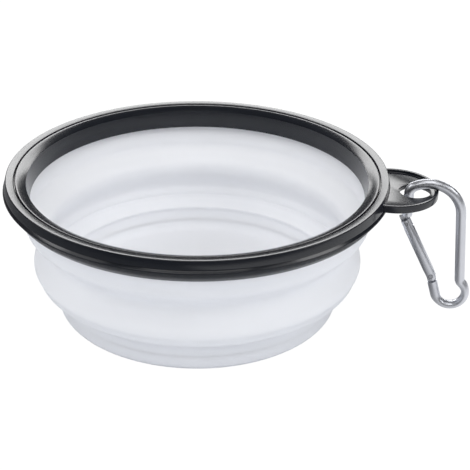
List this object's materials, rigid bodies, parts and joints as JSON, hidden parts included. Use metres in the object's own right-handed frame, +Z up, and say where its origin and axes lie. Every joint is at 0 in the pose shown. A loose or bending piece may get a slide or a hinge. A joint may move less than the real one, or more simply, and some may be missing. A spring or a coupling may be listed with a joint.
{
  "type": "collapsible dog bowl",
  "caption": "Folding silicone bowl clamped in a two-piece black rim, with a hanging tab and a sprung-gate carabiner.",
  "frame": {"origin": "on the bowl's axis, on its underside", "axes": "+Z up out of the bowl's mouth, +X from the axis through the hanging tab"},
  "size_m": [0.1621, 0.1328, 0.0523],
  "materials": {
    "black_plastic": "satin black moulded plastic",
    "white_silicone": "matte translucent white silicone",
    "aluminium": "polished",
    "steel": "plain"
  },
  "bodies": {
    "rim": {"outer_rim": "black_plastic", "inner_ring": "black_plastic", "upper_shoulder": "white_silicone"},
    "upper_skirt_ring": {"upper_skirt": "white_silicone"},
    "middle_shoulder_ring": {"middle_shoulder": "white_silicone"},
    "middle_skirt_ring": {"middle_skirt": "white_silicone"},
    "base": {"base_cup": "white_silicone"},
    "carabiner": {"carabiner_body": "aluminium"},
    "gate": {"carabiner_gate": "aluminium", "hinge_rivet": "steel", "latch_pin": "steel", "return_spring": "steel", "spring_plunger": "steel"}
  },
  "joints": [
    {"name": "collapse", "type": "slide", "parent": "rim", "child": "base", "axis": [0, 0, 1], "range_m": [0, 0.032], "deforming": ["upper_shoulder", "upper_skirt", "middle_shoulder", "middle_skirt"]},
    {"name": "upper_skirt_fold", "type": "slide", "parent": "rim", "child": "upper_skirt_ring", "axis": [0, 0, 1], "range_m": [0, 0.008]},
    {"name": "middle_shoulder_fold", "type": "slide", "parent": "rim", "child": "middle_shoulder_ring", "axis": [0, 0, 1], "range_m": [0, 0.016]},
    {"name": "middle_skirt_fold", "type": "slide", "parent": "rim", "child": "middle_skirt_ring", "axis": [0, 0, 1], "range_m": [0, 0.024]},
    {"name": "carabiner_swing", "type": "hinge", "parent": "rim", "child": "carabiner", "pos_m": [0.0791, 0, 0.05065], "axis": [1, 0, 0], "range_deg": [-30, 30]},
    {"name": "gate_open", "type": "hinge", "parent": "carabiner", "child": "gate", "pos_m": [0.08197, 0, 0.01633], "axis": [0, 1, 0], "range_deg": [0, 36], "stiffness_Nm_per_rad": 0.004, "springref_deg": -45.84}
  ],
  "couplings": [
    {"joint": "upper_skirt_fold", "follows": "collapse", "ratio": 0.25},
    {"joint": "middle_shoulder_fold", "follows": "collapse", "ratio": 0.5},
    {"joint": "middle_skirt_fold", "follows": "collapse", "ratio": 0.75}
  ]
}
